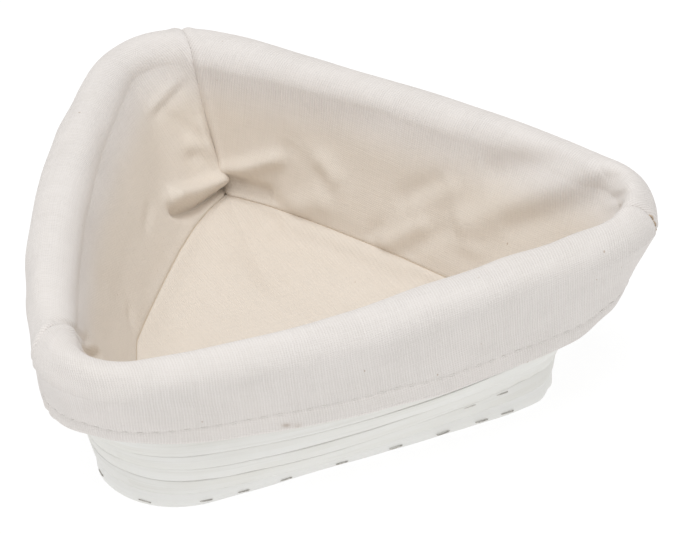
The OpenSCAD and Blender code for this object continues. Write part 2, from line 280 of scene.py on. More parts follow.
def cloth_material(name, outer, inner_shaded):
    """Unbleached cotton: plain weave with strong ribs, uneven yarns and seed flecks, with painted shade on
    the inside. UV is in metres.
    """
    m, g, shader = new_material(name)
    uv = g.add("ShaderNodeUVMap", set_uv_map="UVMap").outputs[0]

    def stretched(sx, sy, detail=3.0):
        v = g.add("ShaderNodeVectorMath", set_operation="MULTIPLY", Vector=uv)
        v.inputs[1].default_value = (sx, sy, 1.0)
        return g.add("ShaderNodeTexNoise", Scale=1.0, Detail=detail, Roughness=0.6,
                     Vector=v.outputs[0]).outputs[0]

    # each yarn wanders a little, so the weave isn't a ruled grid
    drift = g.math("MULTIPLY", stretched(60.0, 60.0, 2.0), 0.0014)
    split = g.add("ShaderNodeSeparateXYZ", Vector=uv)
    x = g.math("ADD", split.outputs[0], drift)
    y = g.math("ADD", split.outputs[1], drift)
    wx = g.math("SINE", g.math("MULTIPLY", x, 2 * math.pi / WARP_PITCH))
    wy = g.math("SINE", g.math("MULTIPLY", y, 2 * math.pi / WEFT_PITCH))
    strength = g.remap(stretched(35.0, 70.0), 0.35, 0.65, 0.45, 1.0)
    # painted shade: the inside mask paints the liner's inside darker and warmer, for its shade and warm
    # bounced light, and softens its ribs
    inside = g.add("ShaderNodeAttribute", set_attribute_name="inside").outputs["Fac"]
    strength = g.math("MULTIPLY", strength, g.math("SUBTRACT", 1.0, g.math("MULTIPLY", inside, 0.75)))
    ribs = g.math("MULTIPLY", wx, strength)
    weave = g.math("ADD", g.math("MULTIPLY", ribs, 0.75),
                   g.math("MULTIPLY", g.math("MULTIPLY", wx, wy), 0.35))
    # thick and thin yarns: streaks long one way, for warp and for weft
    yarn = g.math("ADD", g.math("MULTIPLY", stretched(1300.0, 40.0), 0.6),
                  g.math("MULTIPLY", stretched(45.0, 1200.0), 0.4))
    cloud = stretched(26.0, 26.0, 4.0)
    # painted shade: the inside mask mixes in the darker, warmer inner colour
    tone = g.mix(inside, (*outer, 1), (*inner_shaded, 1))
    tone = g.tint(tone, 0.30, g.remap(cloud, 0.35, 0.7), (0.965, 0.955, 0.94))
    tone = g.tint(tone, 0.30, g.remap(yarn, 0.42, 0.62), (0.91, 0.90, 0.885))
    tone = g.tint(tone, 0.55, g.remap(weave, -0.9, 0.3, 1.0, 0.0), (0.86, 0.85, 0.84))
    # seed flecks: rare brown specks, slightly longer than wide
    squeeze = g.add("ShaderNodeVectorMath", set_operation="MULTIPLY", Vector=uv)
    squeeze.inputs[1].default_value = (1.0, 0.7, 1.0)
    cells = g.add("ShaderNodeTexVoronoi", Scale=260.0, Vector=squeeze.outputs[0], Randomness=1.0)
    rare = g.add("ShaderNodeSeparateColor", Color=cells.outputs["Color"])
    near = g.math("LESS_THAN", cells.outputs["Distance"],
                  g.math("ADD", g.math("MULTIPLY", rare.outputs[1], 0.06), 0.04))
    fleck = g.math("MULTIPLY", near, g.math("GREATER_THAN", rare.outputs[0], 0.80))
    fleck_dark = g.math("ADD", g.math("MULTIPLY", rare.outputs[2], 0.35), 0.2)
    tone = g.mix(g.math("MULTIPLY", fleck, fleck_dark), tone, (0.38, 0.25, 0.15, 1))
    stain = g.add("ShaderNodeAttribute", set_attribute_name="stain").outputs["Fac"]
    stain = g.math("MULTIPLY", stain, g.remap(cloud, 0.2, 0.6, 0.7, 1.0))
    tone = g.mix(stain, tone, (0.36, 0.26, 0.18, 1))
    g.put(shader.inputs["Base Color"], tone)
    shader.inputs["Roughness"].default_value = 0.92
    shader.inputs["Specular IOR Level"].default_value = 0.2
    shader.inputs["Sheen Weight"].default_value = 0.1
    shader.inputs["Sheen Roughness"].default_value = 0.5
    nub = stretched(800.0, 800.0, 2.0)
    height = g.math("ADD", weave, g.math("MULTIPLY", yarn, 2.0))
    height = g.math("ADD", height, g.math("MULTIPLY", nub, 0.8))
    bump = g.add("ShaderNodeBump", Strength=0.5, Distance=0.00025, Height=height)
    g.put(shader.inputs["Normal"], bump.outputs[0])
    return m


def cane_material(name, pale=0.0):
    """Whitened cane: chalky off-white over faint long fibres, with a dull sheen. UV runs along the cane.
    pale lightens it with painted light, from 0 to 1."""
    m, g, shader = new_material(name)
    uv = g.add("ShaderNodeUVMap", set_uv_map="UVMap").outputs[0]
    along = g.add("ShaderNodeVectorMath", set_operation="MULTIPLY", Vector=uv)
    along.inputs[1].default_value = (18.0, 1500.0, 1.0)
    fibre = g.add("ShaderNodeTexNoise", Vector=along.outputs[0], Scale=1.0, Detail=4.0,
                  Roughness=0.6).outputs[0]
    broad = g.add("ShaderNodeTexNoise", Vector=uv, Scale=22.0, Detail=3.0).outputs[0]
    chalk = g.add("ShaderNodeTexNoise", Vector=uv, Scale=420.0, Detail=3.0).outputs[0]
    tone = g.mix(g.remap(broad, 0.3, 0.7), (0.825, 0.82, 0.79, 1), (0.785, 0.775, 0.73, 1))
    tone = g.mix(g.math("MULTIPLY", g.remap(fibre, 0.5, 0.75), 0.35), tone, (0.66, 0.645, 0.59, 1))
    tone = g.mix(g.math("MULTIPLY", g.remap(chalk, 0.55, 0.8), 0.3), tone, (0.86, 0.86, 0.84, 1))
    # painted light: pale lightens the whole colour
    tone = g.mix(pale, tone, (0.97, 0.97, 0.95, 1))
    # painted shade: the grooves between turns are painted a little darker
    groove_shade = g.add("ShaderNodeAttribute", set_attribute_name="groove_shade").outputs["Fac"]
    tone = g.mix(g.math("MULTIPLY", groove_shade, 0.06), tone, (0.62, 0.60, 0.54, 1))
    g.put(shader.inputs["Base Color"], tone)
    g.put(shader.inputs["Roughness"], g.remap(chalk, 0.2, 0.8, 0.42, 0.6))
    shader.inputs["Specular IOR Level"].default_value = 0.4
    height = g.math("ADD", g.math("MULTIPLY", fibre, 1.0), g.math("MULTIPLY", chalk, 0.4))
    bump = g.add("ShaderNodeBump", Strength=0.25, Distance=0.0003, Height=height)
    g.put(shader.inputs["Normal"], bump.outputs[0])
    return m


def steel_material(name):
    """Dull grey staple wire, darkened in patches."""
    m, g, shader = new_material(name)
    where = g.add("ShaderNodeTexCoord").outputs["Object"]
    spots = g.add("ShaderNodeTexNoise", Vector=where, Scale=700.0, Detail=3.0).outputs[0]
    g.put(shader.inputs["Base Color"],
          g.mix(g.remap(spots, 0.35, 0.65), (0.44, 0.42, 0.39, 1), (0.72, 0.70, 0.66, 1)))
    g.put(shader.inputs["Roughness"], g.remap(spots, 0.3, 0.7, 0.35, 0.6))
    shader.inputs["Metallic"].default_value = 0.45
    bump = g.add("ShaderNodeBump", Strength=0.3, Distance=0.0001, Height=spots)
    g.put(shader.inputs["Normal"], bump.outputs[0])
    return m


def thread_material(name, colour):
    """Twisted cotton thread."""
    m, g, shader = new_material(name)
    where = g.add("ShaderNodeTexCoord").outputs["Object"]
    twist = g.add("ShaderNodeTexWave", Vector=where, Scale=900.0, Distortion=1.5,
                  set_bands_direction="DIAGONAL").outputs[1]
    dark = tuple(c * 0.8 for c in colour) + (1,)
    g.put(shader.inputs["Base Color"], g.mix(twist, (*colour, 1), dark))
    shader.inputs["Roughness"].default_value = 0.8
    bump = g.add("ShaderNodeBump", Strength=0.4, Distance=0.0001, Height=twist)
    g.put(shader.inputs["Normal"], bump.outputs[0])
    return m


# the second colour is the painted shade of the inside: darker and warmer
COTTON = cloth_material("cotton_canvas", (0.83, 0.79, 0.76), (0.79, 0.72, 0.64))
CANE = cane_material("whitened_cane")
# the lowest turn is painted lighter: painted light, for the light from above that its upright face misses
LIGHTENED_LOW_CANE = cane_material("whitened_cane_lowest_turn_painted_light", 0.45)
STEEL = steel_material("staple_wire")
THREAD = thread_material("sewing_thread", (0.86, 0.83, 0.79))
SEAM_THREAD = thread_material("seam_thread", (0.74, 0.62, 0.47))
TAN_THREAD = thread_material("tan_thread", (0.60, 0.46, 0.33))
ELASTIC = thread_material("hem_elastic_cover", (0.84, 0.83, 0.80))


def finish_piece(obj, material, body, node):
    obj.data.materials.append(material)
    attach(obj, body)
    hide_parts(node)
    return obj


# ------------------------------------------------------------------ cane
def blend_level(lo, hi, q):
    return (lo[0] + (hi[0] - lo[0]) * q, lo[1] + (hi[1] - lo[1]) * q,
            1 / (1 / lo[2] + (1 / hi[2] - 1 / lo[2]) * q))


# How far out each turn of the wall strays from the even shape, from the lowest up, by direction in degrees.
# The last row is the rim turn, which has to stay inside the cloth.
WALL_OUT = (
    [(60, 0), (25, -6), (345, -12.3), (335, -10.6), (328, -6.5), (322, -3), (316, -0.2), (309, 0.6),
     (300, 0.1), (290, -0.5), (270, -1.1), (252, -1.7), (235, -1.1), (217, -0.3), (205, -0.5),
     (195, -0.1), (180, 0), (150, 0)],
    [(60, 0), (25, -8.7), (345, -11.6), (335, -8.5), (315, -2.2), (306, -1.7), (296, -1.5), (284, -1),
     (271, -0.4), (259, 0.5), (247, 0.3), (237, -0.7), (228, -1.25), (221, -0.45), (213, -0.4),
     (204, -1.1), (195, -1.8), (180, -2.6), (150, -1.4)],
    [(60, 0), (25, -9.5), (345, -12.1), (335, -9.9), (314, -4.4), (310, -3.8), (305, -2.3), (299, -1),
     (288, -0.7), (276, -0.5), (264, 0.3), (253, 0.9), (243, 1.1), (234, 0.7), (226, -0.35),
     (218, -0.4), (208, -1.8), (195, -3.4), (180, -3.6), (150, -1.6)],
    [(60, 0), (25, -7.1), (345, -9.8), (335, -7.6), (311, -1.1), (302, -0.6), (291, -0.1), (280, 0.5),
     (263, 0.9), (248, 1.2), (234, 0.8), (227, 0.35), (219, -0.15), (210, -1), (195, -4.1),
     (180, -3.7), (150, -1.2)],
    [(60, 0), (25, -6.2), (345, -8), (335, -5.8), (307, 0.8), (299, 1.2), (288, 1.8), (273, 1.7),
     (252, 1.4), (243, 1.1), (235, 0.4), (227, -0.15), (216, -0.6), (208, -2.3), (195, -4.1),
     (180, -4.2), (150, -1.3)],
    [(60, 0), (25, -3), (345, -3.6), (332, -2), (318, 0.4), (300, 0.5), (247, 0.7), (215, -0.7),
     (195, -3.1), (165, -2.2), (140, 0.8)],
    [(60, 0), (25, -1), (345, -1.4), (325, -0.4), (300, 0), (215, -1), (195, -3), (165, -2.8), (140, 0)],
    [(60, 0), (215, -0.5), (195, -1.6), (165, -1.5), (140, 0)],
    [(30, 0), (84, 0), (96, -2.4), (109, -2.2), (121, -0.9), (138, -0.8), (165, -0.6), (185, -2),
     (200, -3.4), (213, -3.2), (228, -1), (244, 0)],
)


def stray(turn, x, y):
    """How far out a turn of the wall lies of its even shape, in the directions of some points."""
    return at_directions(WALL_OUT[turn - 1], x, y)


SQUEEZE = 0.12                       # how far a turn of the wall is pressed into its neighbours
STEP = 1.2         # distance between sections along a turn
SECTION_POINTS = 28
# a section's power, higher for squarer, and how hard it is pressed flat above and below
ROUND_SECTION, FLAT_SECTION = (2.8, 1.0), (5.0, 1.5)


def cane_ring(name, node, level, z, seed, turn=0, follow=0.0):
    """One closed turn of cane. level is outside its face, z its underside, turn its number in the wall.
    follow is how much a floor turn follows the strays of the lowest turn of the wall."""
    total = 3 * third_run(*level)
    n = int(total / STEP)
    along = np.arange(n) / n * total
    x, y, g = loop_points(*level, along)
    tilt, tall, even_out = lean(turn, x, y, g) if turn else (np.zeros(n), np.full(n, CANE_H), 0.0)
    # the section: a flattened round, pressed flat where it meets the next turn
    t = np.arange(SECTION_POINTS) / SECTION_POINTS * 2 * math.pi
    p, press = ROUND_SECTION if turn == WALL_TURNS else FLAT_SECTION
    sec_x = (np.sign(np.cos(t)) * np.abs(np.cos(t)) ** (2 / p) * CANE_W / 2)[:, None]
    unit_z = np.clip(press * np.sign(np.sin(t)) * np.abs(np.sin(t)) ** (2 / p), -1, 1)
    sec_z = unit_z[:, None] * (tall / 2 + (SQUEEZE if turn else 0.0))[None, :]
    wobble = noise_field(1, n, 1, 40, seed)[0] * 0.10 + noise_field(1, n, 1, 12, seed + 1)[0] * 0.035
    lift = noise_field(1, n, 1, 60, seed + 2)[0] * 0.035
    swell = 1 + noise_field(1, n, 1, 50, seed + 3)[0] * 0.008
    ct, st = np.cos(tilt), np.sin(tilt)
    dx = sec_x * ct + sec_z * st
    dz = -sec_x * st + sec_z * ct
    if z < 1:
        # the lowest turns stand flat on the table
        low = dz < 0
        dz = np.where(low, np.maximum(dz, -CANE_H / 2 + 0.02), dz)
        lift = lift * 0
    if turn:
        wobble = wobble + stray(turn, x, y) + even_out
    if follow:
        wobble = wobble + follow * stray(1, x, y)
    radial = -CANE_W / 2 + dx * swell[None, :] + wobble[None, :]
    px = x[None, :] + radial * np.cos(g)[None, :]
    py = y[None, :] + radial * np.sin(g)[None, :]
    pz = z + CANE_H / 2 + dz + lift[None, :]
    pts = np.stack([px, py, np.broadcast_to(pz, px.shape)], -1)
    # close round the section and round the loop, with one doubled column for the UV
    pts = np.concatenate([pts, pts[:, :1]], 1)
    pts = np.concatenate([pts, pts[:1]], 0)
    rows, cols = pts.shape[:2]
    u = np.concatenate([along, [total]]) * MM
    v = np.arange(rows) / SECTION_POINTS * 2 * (CANE_W + CANE_H) * MM
    # every turn shows another stretch of the cane's texture
    uv = np.stack(np.broadcast_arrays(u[None, :] + seed * 0.37, v[:, None] + seed * 0.011), -1)
    depth = np.abs(np.concatenate([unit_z, unit_z[:1]]))
    # where the painted groove shade goes: the top and bottom of the section, where it meets the next turn
    groove_shade = np.broadcast_to(smooth(depth, 0.86, 1.0)[:, None], (rows, cols))
    obj = make_mesh(name, pts.reshape(-1, 3), grid_faces(rows, cols).tolist(),
                    uv.reshape(-1, 2), {"groove_shade": groove_shade})
    return finish_piece(welded(obj), LIGHTENED_LOW_CANE if turn == 1 else CANE, "basket", node)


def corner_for(a, tip, r):
    """The corner radius that gives a bowed triangle its tip."""
    return (tip * tip + tip * (r - a) + (r - a) ** 2 - r * r) / (2 * tip - a - r)


def wall_level(n):
    if n == 1:
        return BASE
    a, tip, r = WALL[n - 2]
    return a, corner_for(a, tip, r), r


def reach_at(n, x, y):
    """Distance from the axis to the outside of a turn, in the directions of some points."""
    level = wall_level(n)
    px, py, g = loop_points(*level, np.arange(1400) / 1400 * 3 * third_run(*level))
    out = stray(n, px, py)
    px, py = px + out * np.cos(g), py + out * np.sin(g)
    at = np.arctan2(py, px)
    order = np.argsort(at)
    return np.interp(np.arctan2(y, x), at[order], np.hypot(px, py)[order], period=2 * math.pi)


def lean(n, x, y, g):
    """All round a turn: how far its face leans over, radians, its size up the wall, and its shift."""
    here = reach_at(n, x, y)
    below = here - reach_at(n - 1, x, y) if n > 1 else None
    above = reach_at(n + 1, x, y) - here if n < WALL_TURNS else below
    slant = np.cos(g - np.arctan2(y, x))
    step = 0.3 * above if n == 1 else 0.5 * (below + above)
    step = np.maximum(step * slant, 0)
    if n == 1:
        return np.arctan2(step, CANE_H), np.full(len(x), CANE_H), np.zeros(len(x))
    # the middle of the face moves so that its edges meet the turns above and below
    return np.arctan2(step, CANE_H), np.hypot(CANE_H, step), 0.25 * (above - below) * slant


def floor_level(n):
    return (BASE[0] - (CANE_W + 0.04) * n, max(9.0, BASE[1] - 5.6 * n), BASE[2] - CANE_W * n)


for n in range(1, WALL_TURNS + 1):
    cane_ring(f"cane_wall_turn_{n:02d}", f"wall_coil_{n:02d}", wall_level(n), (n - 1) * CANE_H, 100 + n * 7,
              turn=n)
for n in range(1, FLOOR_TURNS + 1):
    cane_ring(f"cane_floor_turn_{n:02d}", f"base_coil_{n:02d}", floor_level(n), 0.0, 300 + n * 7,
              follow=1 - 0.1 * n)


def centre_cane():
    """The short cane piece in the middle of the floor: a rounded three-sided plug."""
    half = floor_level(FLOOR_TURNS)[0] - CANE_W - 0.25
    n = 72
    t = np.arange(n) / n * 2 * math.pi
    away = np.full(n, 1.6 * half)
    for k in range(3):
        away = np.minimum(away, half / np.maximum(np.cos(t - math.radians(120 * k - 90)), 1e-3))
    # its profile: share of the way out, height
    profile = ((0.0, 0.05), (0.9, 0.05), (0.98, 0.3), (1.0, 0.9), (1.0, CANE_H - 0.9),
               (0.97, CANE_H - 0.3), (0.88, CANE_H - 0.05), (0.0, CANE_H + 0.1))
    pts = np.array([np.stack([q * away * np.cos(t), q * away * np.sin(t), np.full(n, z)], -1)
                    for q, z in profile])
    rows = len(profile)
    uv = np.stack(np.broadcast_arrays(t[None, :] * 0.01, np.arange(rows)[:, None] * 0.002), -1)
    obj = make_mesh("cane_floor_centre", pts.reshape(-1, 3), grid_faces(rows, n, wrap=True).tolist(),
                    uv.reshape(-1, 2), {"groove_shade": np.zeros((rows, n))})
    return finish_piece(welded(obj), CANE, "basket", "base_centre_cane")


centre_cane()


# ------------------------------------------------------------------ staples
STAPLE_LENGTH = 5.0
WIRE_OUT, WIRE_UP = 0.22, 0.26       # half sizes of the flattened wire


def staple_points(length):
    """Centre line of a staple, as distances outwards and across: two legs into the cane and the bar."""
    half = length / 2
    line = [(-3.0, -half), (-0.6, -half), (-0.05, -half + 0.18), (0.12, -half + 0.6),
            (0.14, 0.0), (0.12, half - 0.6), (-0.05, half - 0.18), (-0.6, half), (-3.0, half)]
    return np.array(line)


def wire_tube(line, sides=10):
    """A closed tube of wire round a line of 3-D points."""
    d = np.gradient(line, axis=0)
    d /= np.linalg.norm(d, axis=1, keepdims=True) + 1e-9
    up = np.array([0, 0, 1.0])
    side = np.cross(d, up)
    side /= np.linalg.norm(side, axis=1, keepdims=True) + 1e-9
    t = np.arange(sides) / sides * 2 * math.pi
    ring = (line[:, None] + side[:, None] * (np.cos(t) * WIRE_OUT)[None, :, None]
            + up * (np.sin(t) * WIRE_UP)[None, :, None])
    pts = ring.reshape(-1, 3)
    faces = grid_faces(len(line), sides, wrap=True).tolist()
    faces.append(list(range(sides)))
    faces.append([(len(line) - 1) * sides + i for i in range(sides - 1, -1, -1)])
    return pts, faces


def staples(name, node, places, seed):
    """One object of staples. A place is (turn, thirds of the way round, mm up the face)."""
    rng = np.random.default_rng(seed)
    pts, faces, count = [], [], 0
    for turn, share_round, up in places:
        level = wall_level(turn)
        x, y, g = (np.atleast_1d(v) for v in loop_points(*level, third_run(*level) * share_round))
        tilt, _, even_out = lean(turn, x, y, g)
        out_by = float(stray(turn, x, y)[0]) + float(even_out[0])
        x, y, g, tilt = (float(v[0]) for v in (x, y, g, tilt))
        out_by += -CANE_W / 2 * (1 - math.cos(tilt)) + up * math.sin(tilt)
        z = (turn - 0.5) * CANE_H - CANE_W / 2 * math.sin(tilt) + up * math.cos(tilt)
        x, y = x + out_by * math.cos(g), y + out_by * math.sin(g)
        slant = rng.uniform(-0.06, 0.06)
        local = staple_points(STAPLE_LENGTH * rng.uniform(0.93, 1.05))
        sink = rng.uniform(-0.08, 0.10)
        out = np.array([math.cos(g), math.sin(g), 0.0])
        tangent = np.array([-math.sin(g), math.cos(g), 0.0])
        line = (np.array([x, y, z]) + (local[:, :1] + sink) * out
                + local[:, 1:] * (tangent * math.cos(slant) + np.array([0, 0, 1.0]) * math.sin(slant)))
        p, f = wire_tube(line)
        faces += [[i + count for i in face] for face in f]
        pts.append(p)
        count += len(p)
    obj = make_mesh(name, np.concatenate(pts), faces)
    return finish_piece(obj, STEEL, "basket", node)


# where the staples of the front show; the other two sides have nine each, evenly spaced
FRONT_STAPLES = (0.028, 0.152, 0.230, 0.319, 0.438, 0.552, 0.653, 0.736, 0.792)
staples("lowest_turn_staples", "base_staples",
        [(1, q, -1.9 if i == 1 else -2.3) for i, q in enumerate(FRONT_STAPLES)]
        + [(1, k + (i + 0.05) / 9, -1.6) for k in (1, 2) for i in range(9)], 11)
staples("second_turn_staples", "wall_staples", [(2, 0.693, 2.9), (2, 0.766, 2.4)], 12)


# ------------------------------------------------------------------ the cloth liner
# The seam round the cloth floor, seen from above, from the left corner on: (x, y)
FLOOR_SEAM = {
    "front": [(-84.0, -37.0), (-78.5, -44.6), (-60.0, -51.6), (-30.0, -59.0), (0.0, -62.5),
              (35.0, -62.2), (62.0, -58.6), (74.5, -54.2)],
    "right": [(74.5, -54.2), (77.8, -46.0), (75.0, -34.0), (70.0, -17.0), (62.5, 2.0), (52.5, 25.5),
              (43.5, 44.0), (35.0, 61.0), (25.5, 77.5), (15.0, 92.0)],
    "left": [(15.0, 92.0), (4.0, 84.4), (-5.0, 76.6), (-16.0, 65.0), (-25.0, 54.4), (-34.5, 43.0),
             (-45.0, 30.0), (-54.5, 17.5), (-61.6, 1.5), (-73.0, -18.0), (-82.0, -30.0), (-84.0, -37.0)],
}
SIDES = ("front", "right", "left")
WALL_ROWS, ROLL_ROWS, SKIRT_ROWS, TUCK_ROWS = ((84, 68, 50, 12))
BEND_ROWS = 8                         # rows round the fold of the hem
COLS = 300          # columns of one panel


def resample(line, share):
    """Points at shares of the length of a line smoothed through its points."""
    line = np.asarray(line, float)
    t = lengths(line)
    fine = np.linspace(0, t[-1], 900)
    p = np.stack([np.interp(fine, t, line[:, i]) for i in range(2)], -1)
    width = 26
    kernel = np.hanning(2 * width + 1)
    kernel /= kernel.sum()
    # reflect through the end points, so the ends stay where they are
    padded = np.concatenate([2 * p[0] - p[width:0:-1], p, 2 * p[-1] - p[-2:-width - 2:-1]])
    p = np.stack([np.convolve(padded[:, i], kernel, "valid") for i in range(2)], -1)
    t = lengths(p)
    return np.stack([np.interp(share * t[-1], t, p[:, i]) for i in range(2)], -1)


# columns crowd together at the corner seams
share = np.linspace(0, 1, COLS + 1)
share = 0.62 * share + 0.38 * (0.5 - 0.5 * np.cos(math.pi * share))


def upper_point_grid(roll_from):
    """Points and facing of the roll, the skirt and the hem; roll_from: where the roll starts, radians."""
    outer = tuple(v + ROLL_R for v in ROLL)
    rows = []
    for t in np.linspace(1, 0, ROLL_ROWS):
        b = roll_from * t
        d = ROLL_R * np.cos(b)
        rows.append((*(v + d for v in ROLL), ROLL_Z + ROLL_R * np.sin(b)))
    for q in np.linspace(0, 1, SKIRT_ROWS + 1)[1:]:
        rows.append((*blend_level(outer, HEM, q), ROLL_Z + (HEM_Z - ROLL_Z) * q))
    for b in np.linspace(0, -math.pi, BEND_ROWS + 1)[1:]:
        d = HEM_GAP / 2 * (math.cos(b) - 1)
        rows.append((*(v + d for v in HEM), HEM_Z + HEM_GAP / 2 * math.sin(b)))
    for q in np.linspace(0, HEM_FOLD, TUCK_ROWS + 1)[1:]:
        level = blend_level(outer, HEM, 1 - q / (ROLL_Z - HEM_Z))
        rows.append((*(v - HEM_GAP for v in level), HEM_Z + q))
    a, c, r, z = (np.stack([np.broadcast_to(row[i], (3 * COLS,)) for row in rows]) for i in range(4))
    run = third_run(a, c, r)
    tip = reach(a, c, r) + c
    k = np.repeat(np.arange(3), COLS)[None, :]
    turn = np.radians(np.array([SEAM_TURN[2], SEAM_TURN[0], SEAM_TURN[1], SEAM_TURN[2]]))
    start, end = turn[k] * tip, turn[k + 1] * tip
    along = k * run + start + (run + end - start) * np.tile(share[:-1], 3)[None, :]
    x, y, g = loop_points(a, c, r, along)
    return np.stack([x, y, z], -1), g


# How the real liner strays from the even shape, by direction in degrees. ROLL_START is the angle at which
# the cloth starts to roll over the rim. The others are millimetres: how far in the roll starts, how far up
# and out the hem lies, and how far out the cloth stands just below the rim.
ROLL_START = [(150, 178), (185, 180), (250, 180), (300, 176), (328, 168), (0, 160), (45, 158), (80, 165),
              (105, 172)]
ROLL_IN = [(215, 0), (238, -1.0), (262, 0), (285, 2.5), (304, 3.0), (317, -1.0), (333, -7.5), (348, -2.8),
           (15, 0), (90, 0)]
HEM_UP = [(180, 0), (200, -2.0), (212, 1.2), (219, 2.2), (232, 1.6), (250, 0.6), (265, -0.2), (285, -2.5),
          (300, -3.4), (308, -4.4), (315, -4.8), (321, -2.2), (328, -1.0), (336, -0.5), (90, 0)]
HEM_OUT = [(130, 0), (165, -2.0), (195, -2.0), (212, 0.6), (235, 0), (285, 0), (300, -0.6), (316, -0.4),
           (324, 0.4), (345, 0), (10, 0.2), (45, 0)]
SHOULDER = [(30, 0), (50, -0.9), (62, 0), (74, 1.2), (86, 0), (98, -2.4), (108, -2.0), (119, -0.5),
            (135, 0), (165, -0.2), (182, -1.4), (195, -2.8), (208, -3.0), (222, -1.0), (238, 0)]
even, _ = upper_point_grid(np.full(3 * COLS, math.pi))
ux, uy = even[0, :, 0], even[0, :, 1]
upper, ug = upper_point_grid(np.radians(at_directions(ROLL_START, ux, uy)))
roll_at = np.clip(1 - np.arange(len(upper)) / (ROLL_ROWS - 1), 0, 1)[:, None]     # 1 inside, 0 outside
skirt_at = np.clip((ROLL_Z - upper[..., 2]) / (ROLL_Z - HEM_Z), 0, 1)
skirt_at[:ROLL_ROWS] = 0
shoulder = (1 - smooth(roll_at, 0.15, 0.6)) * (1 - smooth(skirt_at, 0, 1.0))
shift = (-at_directions(ROLL_IN, ux, uy)[None, :] * smooth(roll_at, 0.25, 1.0)
         + at_directions(SHOULDER, ux, uy)[None, :] * shoulder
         + at_directions(HEM_OUT, ux, uy)[None, :] * np.sin(skirt_at * math.pi / 2))
upper[..., 0] += shift * np.cos(ug)
upper[..., 1] += shift * np.sin(ug)
upper[..., 2] += at_directions(HEM_UP, ux, uy)[None, :] * skirt_at

seam_xy = np.concatenate([resample(FLOOR_SEAM[n], share)[:-1] for n in SIDES])
q = np.linspace(0, 1, WALL_ROWS, endpoint=False)[:, None]
belly = q + 0.05 * np.sin(math.pi * q)
wall = np.stack([seam_xy[None, :, 0] * (1 - belly) + upper[0][None, :, 0] * belly,
                 seam_xy[None, :, 1] * (1 - belly) + upper[0][None, :, 1] * belly,
                 SEAM_Z + (upper[0][None, :, 2] - SEAM_Z) * q + 0 * seam_xy[None, :, 0]], -1)
base_points = np.concatenate([wall, upper])
rows_n, cols_n = base_points.shape[:2]
FOLD_ROW = WALL_ROWS + ROLL_ROWS + SKIRT_ROWS - 1

# cloth coordinates: T up the cloth from the floor seam, U across from the middle of each panel, mm
T = lengths(base_points)
U = np.zeros((rows_n, 3, COLS + 1))
for k in range(3):
    cols = np.arange(k * COLS, (k + 1) * COLS + 1) % cols_n
    d = lengths(base_points[:, cols].swapaxes(0, 1)).T
    U[:, k] = d - d[:, COLS // 2][:, None]
UC = U[:, :, :-1].reshape(rows_n, cols_n)
EDGE = np.minimum(U[:, :, :-1] - U[:, :, :1], U[:, :, -1:] - U[:, :, :-1]).reshape(rows_n, cols_n)

normal = grid_normals(base_points)
# the side that shows: low on the wall it faces the axis
FACING = 1.0 if normal[3, 10, :2] @ base_points[3, 10, :2] < 0 else -1.0
normal = normal * FACING

relief = np.zeros((rows_n, cols_n))


def fold(side, line, height, width, ends=6.0):
    """A ridge (height above 0) or a valley along a line of cloth coordinates (u, t), fading at its ends."""
    k = SIDES.index(side)
    cols = slice(k * COLS, (k + 1) * COLS)
    u, t = UC[:, cols], T[:, cols]
    best, where, total = nearest_on(line, u, t)
    fade = smooth(np.minimum(where, total - where), -0.5 * ends, ends)
    relief[:, cols] += height * np.exp(-(best / width) ** 2) * fade * smooth(t, 0, 3)


# seams: the two cloths turn in to the seam and pucker beside it
up_wall = smooth(T, 0, 6)
relief -= 0.55 * np.exp(-(EDGE / 0.8) ** 2)
relief += 0.45 * np.exp(-((EDGE - 2.8) / 1.7) ** 2)
# the wall turns down into the floor seam
relief -= 0.4 * np.exp(-(T / 0.8) ** 2)
# soft unevenness of washed cloth
per_mm = COLS / 220
relief += 0.40 * noise_field(rows_n, cols_n, 34, 48 * per_mm, 21) * up_wall
relief += 0.16 * noise_field(rows_n, cols_n, 15, 15 * per_mm, 22) * up_wall
# folds, left and right wall
fold("right", [(86.0, 8.5), (81.6, 10.0), (73.3, 13.8), (64.3, 18.4), (55.9, 22.6)], 3.0, 3.4)
fold("right", [(84.0, 8.0), (79.7, 6.6), (73.5, 5.8), (66.4, 4.6), (60.6, 3.6)], -4.4, 4.2)
fold("right", [(54.3, 29.5), (57.2, 20.1), (60.6, 11.4), (63.1, 2.6)], -1.3, 4.4)
fold("right", [(52.3, 0.9), (47.7, 4.4), (39.6, 8.7), (31.2, 8.7)], 1.8, 5.2)
fold("right", [(45.3, 27.7), (39.1, 24.3), (34.0, 20.0), (31.3, 16.5)], 1.6, 4.0)
fold("right", [(44.4, 22.5), (39.2, 18.2), (36.5, 14.8)], -0.7, 4.0)
fold("right", [(-22.4, 18.8), (-28.6, 23.4), (-42.6, 33.5), (-56.8, 44.8), (-72.4, 56.0), (-78.8, 65.2)],
     2.6, 7.0)
fold("right", [(-28.3, 43.5), (-37.5, 48.2), (-54.5, 57.5), (-67.0, 64.9), (-72.7, 69.1)], -1.5, 6.0)
fold("right", [(-41.5, 26.4), (-50.2, 32.0), (-65.0, 43.5), (-77.9, 54.5), (-82.1, 62.4)], -1.8, 5.0)
fold("right", [(7.1, 19.2), (0.0, 24.6), (-7.5, 30.8), (-14.0, 37.0)], -1.3, 4.5)
fold("right", [(0.0, 17.6), (-7.3, 23.8), (-14.9, 30.1), (-22.6, 35.5)], 1.0, 4.5)
fold("right", [(10.9, 0.0), (3.4, 5.3), (-4.6, 12.4), (-11.8, 17.8)], 1.8, 4.0)
fold("right", [(-2.2, 1.8), (-7.9, 8.0), (-16.3, 15.2), (-22.5, 19.7)], -1.0, 4.0)
fold("right", [(16.4, 1.7), (12.4, 7.0), (10.3, 11.4)], -1.0, 3.0)
